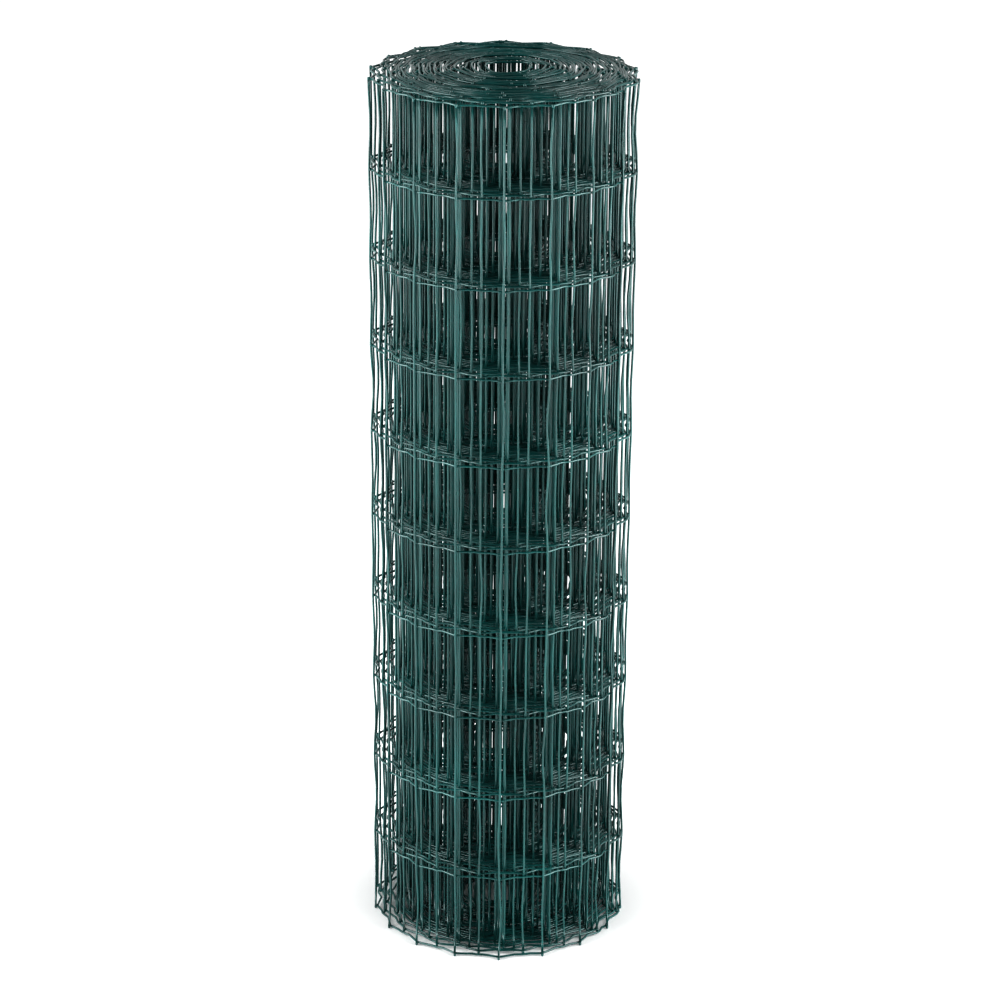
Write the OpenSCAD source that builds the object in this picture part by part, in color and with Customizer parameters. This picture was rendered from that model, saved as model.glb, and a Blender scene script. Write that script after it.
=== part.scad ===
// Roll of green welded wire fencing, standing on end.
// The wound mesh is one turned solid with its bore. The edge of every turn shows
// on both ends, and the line wires of the outermost turn stand proud as rings.
// The roll stands on the floor at z = 0, and its axis is the Z axis.

/* [Mesh] */
// Diameter of the plastic-coated wire
wire_d = 2.5; // [1.8:0.1:3.0]
// Height of one mesh cell, from line wire to line wire
cell_h = 100; // [50:5:150]
// Number of cells up the height of the fence
cell_rows = 10; // [4:1:20]
// How far the upright wires reach past the middle of the end line wires
stub = 3; // [1.5:0.5:6]

/* [Roll] */
// Diameter over the outermost turn
outer_d = 300; // [260:5:400]
// Diameter of the hole inside the innermost turn
bore_d = 44; // [30:1:80]
// Number of turns from the bore to the outside
turns = 28; // [12:1:34]
// How far the innermost turn has slid up out of the outermost one
inner_rise = 8; // [0:0.5:15]

/* [Turn edges] */
// Width of the gap that shows between two turns
gap_w = 1.6; // [1:0.1:2.4]
// Depth of that gap
gap_depth = 8; // [4:0.5:20]
// Radius that rounds the edges of each turn
edge_r = 1.0; // [0.5:0.1:1.6]
// How deep the outer line wires lie sunk in the wall behind them
ring_sink = 0.5; // [0.3:0.1:0.8]

/* [Hidden] */

round_fn = 48;
turned_fn = 180;

wire_r = wire_d / 2;
fence_h = cell_rows * cell_h + 2 * stub;             // height of the mesh itself
wall_r = outer_d / 2 - wire_d + ring_sink;           // outside of the outermost turn
pitch = (wall_r - bore_d / 2 + gap_w) / turns;       // one turn and one gap
turn_w = pitch - gap_w;
corner_r = min(edge_r, 0.45 * turn_w);               // a turn's two corners leave a flat between them
rise_step = inner_rise / (turns - 1);

// Turn 0 is the outermost one
function turn_inside_r(i) = wall_r - i * pitch - turn_w;
function turn_foot(i) = i * rise_step;

// Rectangle with round corners, from X = 0 and Y = 0
module rounded_strip(width, height, radius) {
    translate([0, radius]) square([width, height - 2 * radius]);
    translate([radius, 0]) square([width - 2 * radius, height]);
    for (x = [radius, width - radius], y = [radius, height - radius])
        translate([x, y]) circle(r = radius, $fn = round_fn);
}

// Half section of one turn, from its foot to its top edge
module turn_section(i) {
    translate([turn_inside_r(i), turn_foot(i)]) rounded_strip(turn_w, fence_h, corner_r);
}

// Half section that closes the gap inside turn i, short of both ends
module gap_filling(i) {
    low = turn_foot(i + 1) + gap_depth;
    high = turn_foot(i) + fence_h - gap_depth;
    translate([turn_inside_r(i) - gap_w - turn_w / 2, low]) square([pitch, high - low]);
}

// Half sections of the line wires around the outermost turn
module line_wire_sections() {
    for (row = [0 : cell_rows])
        translate([outer_d / 2 - wire_r, stub + row * cell_h]) circle(r = wire_r, $fn = round_fn);
}

// The whole roll, turned about its axis
module mesh_roll() {
    color([0.06, 0.33, 0.27])
        rotate_extrude($fn = turned_fn)
            union() {
                for (i = [0 : turns - 1]) turn_section(i);
                for (i = [0 : turns - 2]) gap_filling(i);
                line_wire_sections();
            }
}

mesh_roll();
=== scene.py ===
"""Looks of a standing roll of green coated welded wire fencing.

The fence is made flat, as it comes off the welding line: long line wires with a crimp
in every cell, upright stays welded on their outer side, and a bead of coating at every
weld.  Then the flat mesh is wound into a roll, which takes the place of the turned
solid of the frame.  All sizes are in metres.
"""

import math

import bmesh
import bpy
import numpy as np
from mathutils import Matrix, Vector


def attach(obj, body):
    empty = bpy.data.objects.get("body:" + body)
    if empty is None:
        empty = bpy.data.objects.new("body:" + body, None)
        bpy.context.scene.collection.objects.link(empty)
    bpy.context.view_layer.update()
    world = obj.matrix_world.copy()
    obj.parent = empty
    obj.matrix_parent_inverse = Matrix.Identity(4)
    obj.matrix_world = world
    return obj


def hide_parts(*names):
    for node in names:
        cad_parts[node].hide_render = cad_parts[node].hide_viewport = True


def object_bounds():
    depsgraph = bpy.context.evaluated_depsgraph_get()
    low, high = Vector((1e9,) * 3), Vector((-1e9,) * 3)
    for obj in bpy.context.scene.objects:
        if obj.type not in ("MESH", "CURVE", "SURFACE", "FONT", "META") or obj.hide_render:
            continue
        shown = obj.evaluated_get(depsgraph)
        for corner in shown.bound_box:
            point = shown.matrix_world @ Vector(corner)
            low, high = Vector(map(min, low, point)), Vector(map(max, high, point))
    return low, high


bl_info = {
    "name": "Wire Fence Roll",
    "version": (1, 0, 0),
    "blender": (4, 5, 0),
    "location": "3D View > Sidebar > Fence Roll",
    "description": "Winds a coated welded wire fence into a standing roll",
    "category": "Object",
}

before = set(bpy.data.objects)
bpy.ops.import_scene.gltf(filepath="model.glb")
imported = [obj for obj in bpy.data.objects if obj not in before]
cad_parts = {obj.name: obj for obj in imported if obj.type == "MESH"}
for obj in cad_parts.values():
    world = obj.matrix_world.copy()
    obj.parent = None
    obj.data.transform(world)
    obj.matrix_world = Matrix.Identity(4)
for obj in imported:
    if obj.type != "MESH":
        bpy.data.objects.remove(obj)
CAD_LOW, CAD_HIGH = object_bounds()

ROLL_NODE = "mesh_roll"
BODY = "root"

ROLL_HEIGHT = CAD_HIGH.z - CAD_LOW.z
MM = 0.001


# ---------------------------------------------------------------- settings


class FenceSizes(bpy.types.PropertyGroup):
    """The flat fence, before it is wound"""

    wire_diameter: bpy.props.FloatProperty(
        name="Wire diameter", description="Thickness of a wire over its coating",
        default=2.5 * MM, min=1.0 * MM, max=6.0 * MM, unit="LENGTH")
    cell_height: bpy.props.FloatProperty(
        name="Cell height", description="Distance between two line wires",
        default=100 * MM, min=20 * MM, max=300 * MM, unit="LENGTH")
    cell_width: bpy.props.FloatProperty(
        name="Cell width", description="Distance between two stays, along the fence",
        default=50.7 * MM, min=20 * MM, max=300 * MM, unit="LENGTH")
    cell_rows: bpy.props.IntProperty(
        name="Cell rows", description="Number of cells up the height of the fence",
        default=10, min=1, max=30)
    stub: bpy.props.FloatProperty(
        name="Stub", description="How far wires reach past the last weld, at the foot and at both ends",
        default=3.0 * MM, min=0.0, max=50 * MM, unit="LENGTH")
    top_stub: bpy.props.FloatProperty(
        name="Top stub", description="How far a stay reaches past the middle of the topmost line wire",
        default=1.6 * MM, min=0.0, max=50 * MM, unit="LENGTH")
    weld_sink: bpy.props.FloatProperty(
        name="Weld sink", description="How deep a stay is sunk into a line wire at their weld",
        default=0.3 * MM, min=0.0, max=1.0 * MM, unit="LENGTH")
    crimp_depth: bpy.props.FloatProperty(
        name="Crimp depth", description="How far a line wire is kinked inwards in the middle of a cell",
        default=4.2 * MM, min=0.0, max=15 * MM, unit="LENGTH")
    wire_sides: bpy.props.IntProperty(
        name="Wire sides", description="Number of flat sides around a wire", default=8, min=4, max=16)


class WindingSizes(bpy.types.PropertyGroup):
    """How the fence is wound into a roll"""

    inner_rise: bpy.props.FloatProperty(
        name="Inner rise", description="How far the innermost turn has slid up out of the roll",
        default=8.0 * MM, min=0.0, max=60 * MM, unit="LENGTH")
    wander: bpy.props.FloatProperty(
        name="Wander", description="How far the turns of the tight coil lie above and below each other",
        default=1.3 * MM, min=0.0, max=5 * MM, unit="LENGTH")
    looseness: bpy.props.FloatProperty(
        name="Looseness", description="How far the stays of the loose outer turns bow between line wires",
        default=3.2 * MM, min=0.0, max=10 * MM, unit="LENGTH")
    tight_bow: bpy.props.FloatProperty(
        name="Tight bow", description="How far the stays of the tight turns bow between line wires",
        default=0.6 * MM, min=0.0, max=5 * MM, unit="LENGTH")
    free_end_angle: bpy.props.FloatProperty(
        name="Free end angle", description="Where the outer end of the fence lies, around the roll from +X",
        default=math.radians(130), subtype="ANGLE")
    front_stay_angle: bpy.props.FloatProperty(
        name="Front stay angle", description="Where the foremost stay stands, around the roll from +X",
        default=math.radians(-89.2), subtype="ANGLE")
    unevenness: bpy.props.FloatProperty(
        name="Unevenness", description="How unevenly the turns of the tight coil were pulled in",
        default=0.45 * MM, min=0.0, max=3 * MM, unit="LENGTH")
    slack_seed: bpy.props.IntProperty(
        name="Slack seed", description="Start of the random draws for the uneven pull", default=486, min=0)
    seed: bpy.props.IntProperty(
        name="Seed", description="Start of the random draws for bends and bows", default=7, min=0)


class CoatingLook(bpy.types.PropertyGroup):
    """The plastic coating"""

    colour: bpy.props.FloatVectorProperty(
        name="Colour", description="Colour of the clean coating",
        default=(0.002, 0.079, 0.075), size=3, min=0.0, max=1.0, subtype="COLOR")
    faded: bpy.props.FloatVectorProperty(
        name="Faded colour", description="Colour where the coating is rubbed dull",
        default=(0.020, 0.190, 0.170), size=3, min=0.0, max=1.0, subtype="COLOR")
    # Pale grey for faces that look up: partly a dusting, partly a painted sheen, and painted highlights on
    # the weld beads.
    dust: bpy.props.FloatVectorProperty(
        name="Dust and sheen colour", description="Colour of the dusting and painted sheen on upward faces",
        default=(0.30, 0.36, 0.34), size=3, min=0.0, max=1.0, subtype="COLOR")


class StageLook(bpy.types.PropertyGroup):
    """Floor, lights and camera"""

    floor_colour: bpy.props.FloatVectorProperty(
        name="Floor colour", description="Colour of the plain floor",
        default=(0.88, 0.88, 0.88), size=3, min=0.0, max=1.0, subtype="COLOR")
    floor_glow: bpy.props.FloatProperty(
        name="Floor glow", description="Strength of the light that comes up through the floor",
        default=0.34, min=0.0)
    side_power: bpy.props.FloatProperty(
        name="Side light", description="Power of each of the two side lights",
        default=57.0, min=0.0, unit="POWER")
    even_glow: bpy.props.FloatProperty(
        name="Even glow", description="Strength of the light that comes from all around",
        default=0.03, min=0.0)
    side_glow: bpy.props.FloatProperty(
        name="Side glow", description="Strength added to the surroundings at both sides",
        default=1.1, min=0.0)
    back_glow: bpy.props.FloatProperty(
        name="Back glow", description="Strength added to the surroundings behind the roll",
        default=0.55, min=0.0)
    camera_distance: bpy.props.FloatProperty(
        name="Camera distance", description="Distance over the floor from the roll's axis to the camera",
        default=3.324, min=0.5, unit="LENGTH")
    camera_height: bpy.props.FloatProperty(
        name="Camera height", description="Height of the camera over the floor",
        default=1.827, min=0.0, unit="LENGTH")
    camera_pitch: bpy.props.FloatProperty(
        name="Camera pitch", description="How far the camera looks down",
        default=math.radians(21.61), subtype="ANGLE")
    camera_roll: bpy.props.FloatProperty(
        name="Camera roll", description="How far the camera is tilted about its view",
        default=math.radians(0.40), subtype="ANGLE")
    lens: bpy.props.FloatProperty(
        name="Lens", description="Focal length of the camera, in millimetres", default=113.68, min=10)


# ---------------------------------------------------------------- winding

# Points in the line that the fence follows, and the part of a turn over which its corners are rounded
LINE_POINTS = 32000
ROUNDING = 1 / 12
SEGMENTS_PER_CELL = 8
# Share of the crimp's depth at each eighth of a cell: straight into the crimp, and out in a belly
CRIMP_SHAPE = (0.0, 0.22, 0.50, 0.80, 1.0, 0.62, 0.32, 0.12, 0.0)
CHORD_SAG_LIMIT = 2.3 * MM

# How steeply a line wire comes down beside a stay that it lies on.  In this table and in the ones
# below, the first number of a knot counts the turns from the free outer end of the fence, unless
# the comment says otherwise.
STAY_SLOPES = ((2.5, 0.40), (5.0, 0.17))
# Half width of the roll in millimetres, measured to the line wires: five loose turns in two
# pairs, the tight coil, and the slack core
HALF_WIDTHS = (
    (0.00, 145.4), (0.72, 145.0), (0.90, 143.4), (1.10, 141.4), (1.36, 140.5), (1.60, 136.5), (1.86, 137.5),
    (2.10, 137.0), (2.36, 134.7), (2.60, 131.5), (2.86, 131.7), (3.10, 131.0), (3.36, 127.5), (3.60, 126.0),
    (3.86, 125.5), (4.10, 125.5), (4.40, 121.5), (4.70, 119.7), (4.95, 118.0), (5.15, 115.6),
    (19.7, 69.5), (20.6, 67.0), (21.5, 64.0), (22.4, 60.5), (23.3, 57.0), (24.2, 52.0),
    (25.1, 47.0), (26.0, 43.0), (26.9, 37.5), (27.7, 30.5), (28.3, 28.0), (28.8, 27.0),
)
# Depth of the roll from front to back, as a share of its width
DEPTH_SHARES = (
    (0.0, 1.0), (2.2, 1.0), (2.7, 0.975), (3.3, 0.955), (4.7, 0.945), (5.3, 0.90), (6.5, 0.868),
    (13.5, 0.865), (19.5, 0.885), (24.5, 0.93), (28.8, 0.97),
)
# How far a turn has slid up out of the outermost one, as a share of the innermost turn's rise
RISE_SHARES = (
    (0.0, 0.0), (0.8, 0.03), (1.25, 0.27), (2.6, 0.34), (3.6, 0.42), (5.2, 0.52),
    (15.0, 0.75), (26.5, 0.97), (28.8, 1.0),
)
# How loosely the fence is wound: 1 in the loose outer turns, 0 in the tight coil
LOOSE_SHARES = ((0.0, 1.0), (1.2, 0.8), (2.6, 0.6), (5.1, 0.0), (20.0, 0.0), (23.0, 0.3), (28.0, 0.5))
# Depth of a line wire's crimps in the loose outer turns, against the tight coil, by height: the
# first knot is the foot of the roll, and the last one its top
LOOSE_CRIMPS = ((0.0, 1.0), (0.6, 1.3), (0.9, 1.6), (1.0, 2.0))
# How unequal the crimps are from cell to cell, and from line wire to line wire in a cell
CELL_SPREAD = (0.85, 1.15)
WIRE_SPREAD = (0.92, 1.08)
# Depth of the crimps against the tight coil, by share of the fence's length: shallow in the core
CORE_CRIMPS = ((0.0, 1.0), (0.75, 1.0), (0.88, 0.5))
# Waves in which the turns of the coil lie above and below each other: the share of the whole
# wander, the number of waves per turn, and where the wave starts
WANDERS = ((0.45, 0.31, 0.8), (0.35, 0.47, 2.9), (0.25, 0.83, 5.1))
# How much of that wander each turn has, and how much of the coil's unevenness
WANDER_SHARES = ((0.0, 0.0), (1.2, 0.0), (3.0, 1.0), (27.5, 1.0), (28.8, 0.3))
UNEVEN_SHARES = ((0.0, 0.0), (4.5, 0.2), (6.0, 1.0))
UNEVEN_DRAWS_PER_TURN = 2
# How far the middle of a turn lies to the right of the roll's axis, in millimetres
SIDE_SHIFTS = ((0.0, 0.0), (5.0, 0.4), (17.0, 4.0), (21.0, 6.0), (28.8, 7.0))


def knots(pairs):
    """The two columns of a list of knots."""
    place, value = zip(*pairs)
    return np.array(place), np.array(value)


class Winding:
    """The line that the fence follows when it is wound, by distance from its outer end."""

    def __init__(self, fence, winding):
        self.fence, self.sizes = fence, winding
        self.weld_gap = fence.wire_diameter - fence.weld_sink
        self.last_turn = HALF_WIDTHS[-1][0]
        self.turn = np.linspace(0.0, self.last_turn, LINE_POINTS)
        self.rise = self.rises()
        self.half = self.half_widths()
        self.lay(winding.free_end_angle)
        self.turn_to_front(winding.front_stay_angle)
        self.stays = np.arange(fence.stub, self.length - fence.stub, fence.cell_width)
        self.settle()

    def by_turn(self, pairs):
        """A value along the line, from its knots by turn."""
        return np.interp(self.turn, *knots(pairs))

    def rises(self):
        """How far the line has slid up, all along it."""
        rise = self.sizes.inner_rise * self.rounded(self.by_turn(RISE_SHARES))
        wander = self.sizes.wander * self.by_turn(WANDER_SHARES)
        for swing, times, phase in WANDERS:
            rise += wander * swing * np.sin(2 * math.pi * times * self.turn + phase)
        return rise

    def half_widths(self):
        """Half width of the roll all along the line, with the unevenness of the tight coil."""
        rng = np.random.default_rng(self.sizes.slack_seed)
        draws = rng.normal(0.0, self.sizes.unevenness, UNEVEN_DRAWS_PER_TURN * int(self.last_turn))
        slack = np.interp(self.turn, np.linspace(0.0, self.last_turn, len(draws)), draws)
        slack *= self.by_turn(UNEVEN_SHARES)
        return self.rounded(self.by_turn(HALF_WIDTHS)) * MM + self.rounded(slack)

    def rounded(self, values):
        """Rounds the corners of a line through knots."""
        span = int(len(self.turn) / self.last_turn * ROUNDING)
        padded = np.pad(values, span, mode="edge")
        kernel = np.hanning(2 * span + 1)
        return np.convolve(padded, kernel / kernel.sum(), mode="valid")

    def lay(self, start_angle):
        """Lays the line out around the axis, clockwise from above."""
        self.angle = start_angle - 2 * math.pi * self.turn
        depth = self.by_turn(DEPTH_SHARES)
        shift = self.by_turn(SIDE_SHIFTS) * MM
        self.x = self.half * np.cos(self.angle) + shift
        self.y = self.half * depth * np.sin(self.angle)
        run = np.hypot(np.diff(self.x), np.diff(self.y))
        self.distance = np.concatenate(([0.0], np.cumsum(run)))
        self.length = self.distance[-1]

    def turn_to_front(self, angle):
        """Turns the roll about its axis until a stay of the outermost turn stands at an angle."""
        for _ in range(3):
            first_turn = 2 * math.pi * self.half[0]
            stays = np.arange(self.fence.stub, first_turn, self.fence.cell_width)
            misses = np.interp(stays, self.distance, self.angle) - angle
            misses = np.mod(misses + math.pi, 2 * math.pi) - math.pi
            self.lay(self.angle[0] - misses[np.argmin(np.abs(misses))])

    def at(self, distance):
        """Middle of the line and its direction at distances along the fence."""
        places = []
        for step in (0.0, MM, -MM):
            places += [np.interp(distance + step, self.distance, line) for line in (self.x, self.y)]
        x, y, ahead_x, ahead_y, behind_x, behind_y = places
        size = np.hypot(ahead_x - behind_x, ahead_y - behind_y)
        return x, y, (ahead_x - behind_x) / size, (ahead_y - behind_y) / size

    def wind(self, flat):
        """Winds points of the flat fence: X runs along it, Y out of it and Z up it."""
        x, y, along_x, along_y = self.at(flat[:, 0])
        return np.column_stack((
            x - along_y * flat[:, 1],
            y + along_x * flat[:, 1],
            flat[:, 2] + np.interp(flat[:, 0], self.distance, self.rise),
        ))

    def looseness(self, distance):
        """How loosely the fence is wound at distances along it."""
        turn = np.interp(distance, self.distance, self.turn)
        return np.interp(turn, *knots(LOOSE_SHARES))

    def settle(self):
        """Lets the line wires of every turn settle on the turn inside it.

        Each line wire keeps its crimps where it has room.  Elsewhere it lies on the line
        wire of the next turn in, and bends out over that turn's stays.
        """
        fence, stays = self.fence, self.stays
        rng = np.random.default_rng(self.sizes.seed)
        rows, cells = fence.cell_rows + 1, len(stays) - 1
        self.joints = np.linspace(stays[0], stays[-1], cells * SEGMENTS_PER_CELL + 1)
        share = (np.arange(len(self.joints)) % SEGMENTS_PER_CELL) / SEGMENTS_PER_CELL
        cell = np.minimum(np.arange(len(self.joints)) // SEGMENTS_PER_CELL, cells - 1)

        radius = np.interp(self.joints, self.distance, self.half)
        sag = np.minimum(fence.cell_width ** 2 / (8 * radius), CHORD_SAG_LIMIT) * 4 * share * (1 - share)
        crimp = np.interp(share, np.linspace(0, 1, len(CRIMP_SHAPE)), CRIMP_SHAPE)
        depth = fence.crimp_depth * rng.uniform(*CELL_SPREAD, cells)
        depth = depth * rng.uniform(*WIRE_SPREAD, (rows, cells))
        level = np.interp(np.linspace(0, 1, rows), *knots(LOOSE_CRIMPS))[:, None]
        depth *= 1 + (level - 1) * np.sqrt(self.looseness(stays[:-1]))
        depth *= np.interp(stays[:-1] / self.length, *knots(CORE_CRIMPS))
        self.offsets = -(sag + depth[:, cell] * crimp)

        turn = np.interp(self.joints, self.distance, self.turn)
        inner = np.interp(turn + 1, self.turn, self.distance)
        x, y, along_x, along_y = self.at(self.joints)
        inner_x, inner_y = self.at(inner)[:2]
        room = -(x - inner_x) * along_y + (y - inner_y) * along_x
        inner_rise = np.interp(inner, self.distance, self.rise)
        step_up = inner_rise - np.interp(self.joints, self.distance, self.rise)
        thickness = np.sqrt(np.maximum(0.0, fence.wire_diameter ** 2 - step_up ** 2))
        step = self.joints[1] - self.joints[0]
        steepness = np.interp(turn, *knots(STAY_SLOPES))
        for j in reversed(range(np.searchsorted(turn, turn[-1] - 1))):
            at = (inner[j] - self.joints[0]) / step
            k = min(int(at), len(self.joints) - 2)
            below = self.offsets[:, k] + (at - k) * (self.offsets[:, k + 1] - self.offsets[:, k])
            lowest = below + thickness[j] - room[j]
            stay = np.argmin(np.abs(stays - inner[j]))
            slope = steepness[j] * max(0.0, abs(stays[stay] - inner[j]) - step / 2)
            over = self.offsets[:, stay * SEGMENTS_PER_CELL] + self.weld_gap + fence.wire_diameter
            self.offsets[:, j] = np.maximum(self.offsets[:, j], np.maximum(lowest, over - room[j] - slope))


# ---------------------------------------------------------------- mesh helpers


def put_in_scene(name, mesh):
    """A new object at the origin that shows a mesh."""
    piece = bpy.data.objects.new(name, mesh)
    bpy.context.scene.collection.objects.link(piece)
    return piece


def mesh_from(bm, name):
    """Turns a bmesh into a mesh and frees it."""
    mesh = bpy.data.meshes.new(name)
    bm.to_mesh(mesh)
    bm.free()
    return mesh


def points_of(mesh):
    """Places of a mesh's vertices, one row each."""
    places = np.empty(len(mesh.vertices) * 3, np.float32)
    mesh.vertices.foreach_get("co", places)
    return places.reshape(-1, 3).astype(float)


def move_points(mesh, places):
    """Gives a mesh's vertices new places, and shades it smooth."""
    mesh.vertices.foreach_set("co", places.astype(np.float32).ravel())
    mesh.shade_smooth()
    mesh.update()


def repeated(mesh, name, count, step):
    """A mesh with copies of another one in a row along X."""
    row = put_in_scene(name, mesh)
    array = row.modifiers.new("Row", "ARRAY")
    array.count = count
    array.use_relative_offset = False
    array.use_constant_offset = True
    array.constant_offset_displace = (step, 0.0, 0.0)
    evaluated = row.evaluated_get(bpy.context.evaluated_depsgraph_get())
    joined = bpy.data.meshes.new_from_object(evaluated)
    joined.name = name
    bpy.data.objects.remove(row)
    bpy.data.meshes.remove(mesh)
    return joined


def wire_stock(sides, radius, length, cuts):
    """A straight round wire along Z from Z = 0, closed at both ends and cut into equal lengths."""
    bm = bmesh.new()
    bmesh.ops.create_cone(
        bm, cap_ends=True, segments=sides, radius1=radius, radius2=radius, depth=length)
    bmesh.ops.translate(bm, verts=bm.verts, vec=(0, 0, length / 2))
    upright = [e for e in bm.edges if abs(e.verts[0].co.z - e.verts[1].co.z) > length / 2]
    bmesh.ops.subdivide_edges(bm, edges=upright, cuts=cuts)
    return bm


def finish_piece(piece, material):
    """Gives a piece its material and its body, in place of the turned solid."""
    piece.data.materials.clear()
    piece.data.materials.append(material)
    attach(piece, BODY)
    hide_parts(ROLL_NODE)
    return piece


# ---------------------------------------------------------------- materials


def node_maker(tree):
    """A function that adds a node to a tree, sets its properties and wires its inputs."""

    def add(kind, inputs=None, **settings):
        node = tree.nodes.new(kind)
        for key, value in settings.items():
            setattr(node, key, value)
        for key, value in (inputs or {}).items():
            if isinstance(value, bpy.types.NodeSocket):
                tree.links.new(value, node.inputs[key])
            else:
                node.inputs[key].default_value = value
        return node

    return add


def new_group(name, inputs, outputs):
    """An empty shader node group with float, colour or vector sockets."""
    group = bpy.data.node_groups.new(name, "ShaderNodeTree")
    for socket, kind, default in inputs:
        made = group.interface.new_socket(name=socket, in_out="INPUT", socket_type=kind)
        if default is not None:
            made.default_value = default
    for socket, kind in outputs:
        group.interface.new_socket(name=socket, in_out="OUTPUT", socket_type=kind)
    return group


def coating_mottle_group():
    """Slow changes of shade along a wire, and the fine ripple of a dipped coating."""
    group = new_group(
        "Coating mottle",
        (("Point", "NodeSocketVector", None), ("Patch scale", "NodeSocketFloat", 9.0),
         ("Ripple scale", "NodeSocketFloat", 420.0)),
        (("Patches", "NodeSocketFloat"), ("Ripple", "NodeSocketFloat")))
    add = node_maker(group)
    given = add("NodeGroupInput")
    patches = add("ShaderNodeTexNoise", {
        "Vector": given.outputs["Point"], "Scale": given.outputs["Patch scale"],
        "Detail": 4.0, "Roughness": 0.62})
    stretched = add("ShaderNodeMapping", {"Vector": given.outputs["Point"], "Scale": (1.0, 1.0, 0.22)})
    ripple = add("ShaderNodeTexNoise", {
        "Vector": stretched.outputs["Vector"], "Scale": given.outputs["Ripple scale"],
        "Detail": 2.0, "Roughness": 0.5})
    made = add("NodeGroupOutput")
    group.links.new(patches.outputs["Fac"], made.inputs["Patches"])
    group.links.new(ripple.outputs["Fac"], made.inputs["Ripple"])
    return group


def rub_dust_and_sheen_group():
    """Masks of rubbed spots where wires chafe, and of faces that look up, which get a dusting and a painted
    sheen.
    """
    group = new_group(
        "Rub marks, dusting and painted sheen",
        (("Point", "NodeSocketVector", None), ("Mark scale", "NodeSocketFloat", 120.0),
         ("Mark share", "NodeSocketFloat", 0.3), ("Dust and sheen share", "NodeSocketFloat", 0.3)),
        (("Marks", "NodeSocketFloat"), ("Dust and sheen", "NodeSocketFloat")))
    add = node_maker(group)
    given = add("NodeGroupInput")
    spots = add("ShaderNodeTexNoise", {
        "Vector": given.outputs["Point"], "Scale": given.outputs["Mark scale"],
        "Detail": 5.0, "Roughness": 0.7})
    marks = add("ShaderNodeMapRange", {
        "Value": spots.outputs["Fac"], "From Min": 0.56, "From Max": 0.72,
        "To Min": 0.0, "To Max": given.outputs["Mark share"]})
    # Faces that look up get a pale grey: partly a dusting, partly a painted sheen where light from above
    # falls.
    normal = add("ShaderNodeNewGeometry")
    upward = add("ShaderNodeSeparateXYZ", {"Vector": normal.outputs["Normal"]})
    lies = add("ShaderNodeMapRange", {
        "Value": upward.outputs["Z"], "From Min": 0.25, "From Max": 1.0,
        "To Min": 0.0, "To Max": given.outputs["Dust and sheen share"]})
    grain = add("ShaderNodeTexNoise", {
        "Vector": given.outputs["Point"], "Scale": 60.0, "Detail": 4.0, "Roughness": 0.7})
    patchy = add("ShaderNodeMath", {
        0: lies.outputs["Result"], 1: grain.outputs["Fac"]}, operation="MULTIPLY")
    made = add("NodeGroupOutput")
    group.links.new(marks.outputs["Result"], made.inputs["Marks"])
    group.links.new(patchy.outputs["Value"], made.inputs["Dust and sheen"])
    return group


# Shade of the coating in its deepest and in its lightest patches, against its colour, and how far
# its roughness goes below and above its middle there
DEEP_SHADE = 0.62
LIGHT_SHADE = 1.25
ROUGHNESS_SWING = (-0.05, 0.07)
# How much rougher a rub mark is, and the clear skin that the plastic has over its colour
MARK_ROUGHNESS = 0.35
SKIN_WEIGHT = 0.8
SKIN_ROUGHNESS = 0.07
PLASTIC_IOR = 1.53


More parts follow.
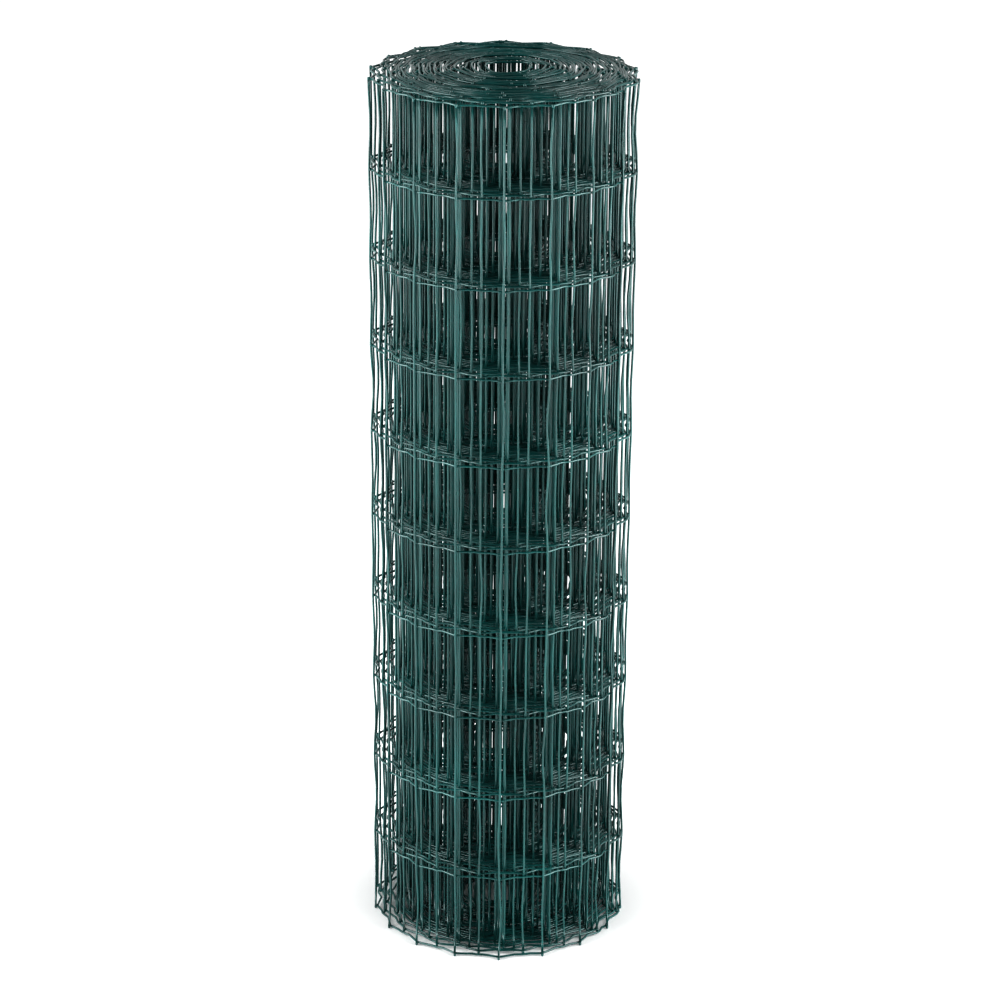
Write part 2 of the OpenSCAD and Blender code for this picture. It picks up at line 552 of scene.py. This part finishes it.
def coating_material(name, look, mottle, rub_dust_and_sheen, mark_share, dust_share, roughness, ripple_depth):
    """Dipped plastic coating over a wire: a deep green with patches, rubbed marks, and a little dusting
    with a painted sheen on upward faces.
    """
    material = bpy.data.materials.new(name)
    material.use_nodes = True
    tree = material.node_tree
    tree.nodes.clear()
    add = node_maker(tree)
    place = add("ShaderNodeTexCoord")
    shade = add("ShaderNodeGroup", node_tree=mottle)
    tree.links.new(place.outputs["Object"], shade.inputs["Point"])
    marks_dust_and_sheen = add("ShaderNodeGroup", node_tree=rub_dust_and_sheen)
    tree.links.new(place.outputs["Object"], marks_dust_and_sheen.inputs["Point"])
    marks_dust_and_sheen.inputs["Mark share"].default_value = mark_share
    marks_dust_and_sheen.inputs["Dust and sheen share"].default_value = dust_share

    deep = [DEEP_SHADE * c for c in look.colour] + [1.0]
    light = [LIGHT_SHADE * c for c in look.colour] + [1.0]
    patches = add("ShaderNodeValToRGB", {"Fac": shade.outputs["Patches"]})
    patches.color_ramp.elements[0].position = 0.36
    patches.color_ramp.elements[0].color = deep
    patches.color_ramp.elements[1].position = 0.66
    patches.color_ramp.elements[1].color = light
    rubbed = add("ShaderNodeMix", {
        "Factor": marks_dust_and_sheen.outputs["Marks"], "A": patches.outputs["Color"], "B": [*look.faded, 1.0]},
        data_type="RGBA")
    # Upward faces are mixed towards the pale grey: a dusting and a painted sheen.
    dust_and_sheen_mix = add("ShaderNodeMix", {
        "Factor": marks_dust_and_sheen.outputs["Dust and sheen"], "A": rubbed.outputs["Result"], "B": [*look.dust, 1.0]},
        data_type="RGBA")
    gloss = add("ShaderNodeMapRange", {
        "Value": shade.outputs["Patches"], "From Min": 0.3, "From Max": 0.7,
        "To Min": roughness + ROUGHNESS_SWING[0], "To Max": roughness + ROUGHNESS_SWING[1]})
    dull = add("ShaderNodeMath", {
        0: marks_dust_and_sheen.outputs["Marks"], 1: MARK_ROUGHNESS, 2: gloss.outputs["Result"]},
        operation="MULTIPLY_ADD")
    ripple = add("ShaderNodeBump", {
        "Height": shade.outputs["Ripple"], "Strength": 0.5, "Distance": ripple_depth})
    surface = add("ShaderNodeBsdfPrincipled", {
        "Base Color": dust_and_sheen_mix.outputs["Result"], "Roughness": dull.outputs["Value"],
        "Normal": ripple.outputs["Normal"], "IOR": PLASTIC_IOR,
        "Coat Weight": SKIN_WEIGHT, "Coat Roughness": SKIN_ROUGHNESS})
    shown = add("ShaderNodeOutputMaterial")
    tree.links.new(surface.outputs["BSDF"], shown.inputs["Surface"])
    return material


# How far from the roll's axis the light through the floor starts, and where it is full
FOOT_SHADE = (0.10, 0.30)
# Shade of the floor in its deepest clouds, against its colour
CLOUD_SHADE = 0.985


def floor_material(look):
    """A plain matt floor, faintly uneven, that glows a little away from the foot of the roll."""
    material = bpy.data.materials.new("Pale floor")
    material.use_nodes = True
    tree = material.node_tree
    tree.nodes.clear()
    add = node_maker(tree)
    place = add("ShaderNodeTexCoord")
    cloud = add("ShaderNodeTexNoise", {"Vector": place.outputs["Object"], "Scale": 1.3, "Detail": 2.0})
    tone = add("ShaderNodeValToRGB", {"Fac": cloud.outputs["Fac"]})
    tone.color_ramp.elements[0].color = [CLOUD_SHADE * c for c in look.floor_colour] + [1.0]
    tone.color_ramp.elements[1].color = [*look.floor_colour, 1.0]
    away = add("ShaderNodeVectorMath", {0: place.outputs["Object"]}, operation="LENGTH")
    glow = add("ShaderNodeMapRange", {
        "Value": away.outputs["Value"], "From Min": FOOT_SHADE[0], "From Max": FOOT_SHADE[1],
        "To Min": 0.0, "To Max": look.floor_glow})
    surface = add("ShaderNodeBsdfPrincipled", {
        "Base Color": tone.outputs["Color"], "Roughness": 0.85, "Emission Color": (1.0, 1.0, 1.0, 1.0),
        "Emission Strength": glow.outputs["Result"]})
    shown = add("ShaderNodeOutputMaterial")
    tree.links.new(surface.outputs["BSDF"], shown.inputs["Surface"])
    return material


def wire_coating():
    """The coating along the wires."""
    # Its share of the pale upward grey gives the tops of the wires a little dusting and a painted sheen.
    return coating("Coated wire", mark_share=0.35, dust_share=0.10, roughness=0.30, ripple_depth=0.00012)


def bead_coating():
    """The thicker, glossier coating that gathers at the welds, with more of the pale upward grey: a dusting
    and painted highlights on the beads.
    """
    return coating("Coating bead", mark_share=0.35, dust_share=0.25, roughness=0.24, ripple_depth=0.0002)


def coating(name, **finish):
    """A coating material by name, made once."""
    known = bpy.data.materials.get(name)
    if known:
        return known
    mottle = bpy.data.node_groups.get("Coating mottle") or coating_mottle_group()
    rub_dust_and_sheen = bpy.data.node_groups.get("Rub marks, dusting and painted sheen") or rub_dust_and_sheen_group()
    return coating_material(name, bpy.context.scene.fence_coating, mottle, rub_dust_and_sheen, **finish)


# ---------------------------------------------------------------- line wires


class FENCE_OT_line_wires(bpy.types.Operator):
    """Make the crimped line wires that run around the roll"""

    bl_idname = "fence.line_wires"
    bl_label = "Line wires"

    def execute(self, context):
        fence, winding = context.scene.fence_sizes, the_winding(context)
        joints = winding.joints
        bm = wire_stock(fence.wire_sides, fence.wire_diameter / 2, joints[-1] - joints[0], len(joints) - 2)
        bmesh.ops.rotate(bm, verts=bm.verts, matrix=Matrix.Rotation(math.pi / 2, 3, "Y"))
        bmesh.ops.translate(bm, verts=bm.verts, vec=(joints[0], 0, 0))
        straight = mesh_from(bm, "line_wire")
        flat = points_of(straight)
        joint = np.rint((flat[:, 0] - joints[0]) / (joints[1] - joints[0])).astype(int)
        flat[joint == 0, 0] -= fence.stub
        flat[joint == len(joints) - 1, 0] += fence.stub
        for row in range(fence.cell_rows + 1):
            mesh = straight.copy()
            mesh.name = f"line_wire_{row:02d}"
            wire = flat.copy()
            wire[:, 1] += winding.offsets[row, joint]
            wire[:, 2] += fence.stub + row * fence.cell_height
            move_points(mesh, winding.wind(wire))
            finish_piece(put_in_scene(mesh.name, mesh), wire_coating())
        bpy.data.meshes.remove(straight)
        return {"FINISHED"}


# ---------------------------------------------------------------- stays

# Height below the end of a stay and thickness there, as shares of the wire's radius: the coating
# gathers in a drop at the cut end
DROP = ((0.0, 0.45), (0.35, 0.86), (1.1, 1.16), (2.2, 1.14), (3.6, 1.0))
# Sides of a stay, and its rings in a cell, in the loose outer turns and inside them
OUTER_DETAIL = (10, 5)
INNER_DETAIL = (8, 3)
# How unequally the stays bow inwards, and how far they bow sideways, as shares of the bow
BOW_SPREAD = (0.1, 1.1)
SIDE_BOW = 0.3


def stay_with_drops(fence, sides, rings_per_cell):
    """One straight stay, with a drop of coating at each end."""
    radius = fence.wire_diameter / 2
    between_welds = fence.cell_rows * fence.cell_height
    height = fence.stub + between_welds + fence.top_stub
    bm = wire_stock(sides, radius, between_welds, fence.cell_rows * rings_per_cell - 1)
    bmesh.ops.translate(bm, verts=bm.verts, vec=(0, 0, fence.stub))
    for end, outward in ((fence.stub, -1), (height - fence.top_stub, 1)):
        cap = next(f for f in bm.faces if len(f.verts) == sides
                   and all(abs(v.co.z - end) < 1e-6 for v in f.verts))
        for depth, thickness in reversed(DROP):
            z = (0.0 if outward < 0 else height) - outward * depth * radius
            made = bmesh.ops.extrude_discrete_faces(bm, faces=[cap])
            cap = made["faces"][0]
            for v in cap.verts:
                flat = Vector((v.co.x, v.co.y, 0)).normalized() * radius * thickness
                v.co = (flat.x, flat.y, z)
    return mesh_from(bm, "stay")


class FENCE_OT_stays(bpy.types.Operator):
    """Make the upright stays, which are welded to the outer side of the line wires"""

    bl_idname = "fence.stays"
    bl_label = "Stays"

    def execute(self, context):
        fence, winding = context.scene.fence_sizes, the_winding(context)
        sizes, stays = context.scene.fence_winding, winding.stays
        rng = np.random.default_rng(sizes.seed + 1)
        rows = fence.cell_rows
        loose = winding.looseness(stays)
        bow = (sizes.tight_bow + (sizes.looseness - sizes.tight_bow) * loose)[:, None]
        inward = rng.uniform(*BOW_SPREAD, (len(stays), rows)) * bow
        sideways = rng.normal(0.0, SIDE_BOW, (len(stays), rows)) * bow
        welds = winding.offsets[:, ::SEGMENTS_PER_CELL]

        first_tight = int(np.argmin(loose > 0.0))
        outer, inner = slice(0, first_tight), slice(first_tight, None)
        groups = (("outer_stays", outer, OUTER_DETAIL), ("inner_stays", inner, INNER_DETAIL))
        for name, part, (sides, rings) in groups:
            single = stay_with_drops(fence, sides, rings)
            per_stay = len(single.vertices)
            count = len(stays[part])
            mesh = repeated(single, name, count, fence.cell_width)
            flat = points_of(mesh)
            which = np.arange(len(stays))[part].repeat(per_stay)
            flat[:, 0] += stays[part][0]
            up = np.clip((flat[:, 2] - fence.stub) / fence.cell_height, 0, rows)
            row = np.minimum(up.astype(int), rows - 1)
            swing = np.sin(np.pi * (up - row)) ** 2
            weld = welds[row, which] + (up - row) * (welds[row + 1, which] - welds[row, which])
            flat[:, 1] += winding.weld_gap + weld - inward[which, row] * swing
            flat[:, 0] += sideways[which, row] * swing
            move_points(mesh, winding.wind(flat))
            finish_piece(put_in_scene(name, mesh), wire_coating())
        return {"FINISHED"}


# ---------------------------------------------------------------- weld beads

# Size of a bead along, out of and up the fence, against the wire, and how unequal the beads are
BEAD_SHAPE = (1.35, 1.3, 1.35)
BEAD_SPREAD = (0.85, 1.15)


class FENCE_OT_weld_beads(bpy.types.Operator):
    """Make the bead of coating that fills the corner at every weld"""

    bl_idname = "fence.weld_beads"
    bl_label = "Weld beads"

    def execute(self, context):
        fence, winding = context.scene.fence_sizes, the_winding(context)
        rng = np.random.default_rng(context.scene.fence_winding.seed + 2)
        radius, stays = fence.wire_diameter / 2, winding.stays
        bm = bmesh.new()
        bmesh.ops.create_uvsphere(bm, u_segments=8, v_segments=4, radius=1.0)
        bmesh.ops.scale(bm, verts=bm.verts, vec=[share * radius for share in BEAD_SHAPE])
        per_bead = len(bm.verts)
        row = repeated(mesh_from(bm, "bead"), "bead_row", len(stays), fence.cell_width)
        flat = points_of(row)
        which = np.repeat(np.arange(len(stays)), per_bead)
        centres = np.zeros((len(stays), 3))
        centres[:, 0] = np.arange(len(stays)) * fence.cell_width
        bm = bmesh.new()
        for level in range(fence.cell_rows + 1):
            size = rng.uniform(*BEAD_SPREAD, len(stays))[which, None]
            beads = centres[which] + (flat - centres[which]) * size
            beads += (stays[0], winding.weld_gap / 2, fence.stub + level * fence.cell_height)
            beads[:, 1] += winding.offsets[level, ::SEGMENTS_PER_CELL][which]
            move_points(row, winding.wind(beads))
            bm.from_mesh(row)
        bpy.data.meshes.remove(row)
        mesh = mesh_from(bm, "weld_beads")
        mesh.shade_smooth()
        finish_piece(put_in_scene("weld_beads", mesh), bead_coating())
        return {"FINISHED"}


# ---------------------------------------------------------------- stage

FLOOR_SIZE = 40.0
# Place and size of the right-hand light, which the left-hand one mirrors
SIDE_LIGHT_PLACE = (2.1, -0.9, 1.1)
SIDE_LIGHT_SIZE = (1.9, 2.4)


def area_light(name, place, target, size, power):
    """A soft rectangular light that points at a target."""
    light = bpy.data.lights.new(name, "AREA")
    light.shape = "RECTANGLE"
    light.size, light.size_y = size
    light.energy = power
    lamp = bpy.data.objects.new(name, light)
    lamp.location = place
    lamp.rotation_euler = (Vector(target) - Vector(place)).to_track_quat("-Z", "Y").to_euler()
    bpy.context.scene.collection.objects.link(lamp)
    return lamp


def studio_world(look):
    """Even light from all around, brighter at the two sides and behind, and dim overhead."""
    world = bpy.data.worlds.new("Surroundings")
    world.use_nodes = True
    tree = world.node_tree
    tree.nodes.clear()
    add = node_maker(tree)
    place = add("ShaderNodeTexCoord")
    toward = add("ShaderNodeSeparateXYZ", {"Vector": place.outputs["Generated"]})
    sideways = add("ShaderNodeMath", {0: toward.outputs["X"], 1: toward.outputs["X"]}, operation="MULTIPLY")
    behind = add("ShaderNodeMath", {0: toward.outputs["Y"], 1: 0.0}, operation="MAXIMUM")
    far = add("ShaderNodeMath", {0: behind.outputs["Value"], 1: 2.0}, operation="POWER")
    sides = add("ShaderNodeMath", {
        0: sideways.outputs["Value"], 1: look.side_glow, 2: look.even_glow}, operation="MULTIPLY_ADD")
    strength = add("ShaderNodeMath", {
        0: far.outputs["Value"], 1: look.back_glow, 2: sides.outputs["Value"]}, operation="MULTIPLY_ADD")
    shine = add("ShaderNodeBackground", {"Strength": strength.outputs["Value"]})
    shown = add("ShaderNodeOutputWorld")
    tree.links.new(shine.outputs["Background"], shown.inputs["Surface"])
    return world


class FENCE_OT_stage(bpy.types.Operator):
    """Make the floor, the lights and the camera"""

    bl_idname = "fence.stage"
    bl_label = "Stage"

    def execute(self, context):
        look, scene = context.scene.fence_stage, context.scene
        bm = bmesh.new()
        bmesh.ops.create_grid(bm, x_segments=1, y_segments=1, size=FLOOR_SIZE / 2)
        floor = put_in_scene("floor", mesh_from(bm, "floor"))
        floor.data.materials.append(floor_material(look))

        middle = (0.0, 0.0, ROLL_HEIGHT / 2)
        across, *rest = SIDE_LIGHT_PLACE
        for name, side in (("left_light", -1), ("right_light", 1)):
            area_light(name, (side * across, *rest), middle, SIDE_LIGHT_SIZE, look.side_power)
        scene.world = studio_world(look)

        lens = bpy.data.cameras.new("camera")
        lens.lens = look.lens
        lens.sensor_width = 36.0
        lens.clip_start, lens.clip_end = 0.05, 100.0
        camera = bpy.data.objects.new("camera", lens)
        camera.matrix_world = (
            Matrix.Translation((0.0, -look.camera_distance, look.camera_height))
            @ Matrix.Rotation(math.pi / 2 - look.camera_pitch, 4, "X")
            @ Matrix.Rotation(look.camera_roll, 4, "Z"))
        scene.collection.objects.link(camera)
        scene.camera = camera
        scene.view_settings.view_transform = "Standard"
        scene.view_settings.look = "Very High Contrast"
        return {"FINISHED"}


# ---------------------------------------------------------------- add-on


class FENCE_PT_panel(bpy.types.Panel):
    """Lists the steps that make the roll"""

    bl_label = "Fence Roll"
    bl_idname = "FENCE_PT_panel"
    bl_space_type = "VIEW_3D"
    bl_region_type = "UI"
    bl_category = "Fence Roll"

    def draw(self, context):
        layout = self.layout
        for group in ("fence_sizes", "fence_winding", "fence_coating", "fence_stage"):
            settings = getattr(context.scene, group)
            box = layout.box()
            for name in settings.bl_rna.properties.keys():
                if name not in ("rna_type", "name"):
                    box.prop(settings, name)
        for operator in OPERATORS:
            layout.operator(operator.bl_idname)


OPERATORS = (FENCE_OT_stage, FENCE_OT_line_wires, FENCE_OT_stays, FENCE_OT_weld_beads)
SETTINGS = {
    "fence_sizes": FenceSizes,
    "fence_winding": WindingSizes,
    "fence_coating": CoatingLook,
    "fence_stage": StageLook,
}


def the_winding(context):
    """The winding that the scene's settings describe."""
    return Winding(context.scene.fence_sizes, context.scene.fence_winding)


def register():
    for kind in (*SETTINGS.values(), *OPERATORS, FENCE_PT_panel):
        bpy.utils.register_class(kind)
    for name, kind in SETTINGS.items():
        setattr(bpy.types.Scene, name, bpy.props.PointerProperty(type=kind))


def unregister():
    for name in SETTINGS:
        delattr(bpy.types.Scene, name)
    for kind in reversed((*SETTINGS.values(), *OPERATORS, FENCE_PT_panel)):
        bpy.utils.unregister_class(kind)


def main():
    register()
    bpy.ops.fence.stage()
    bpy.ops.fence.line_wires()
    bpy.ops.fence.stays()
    bpy.ops.fence.weld_beads()


if __name__ == "__main__":
    main()
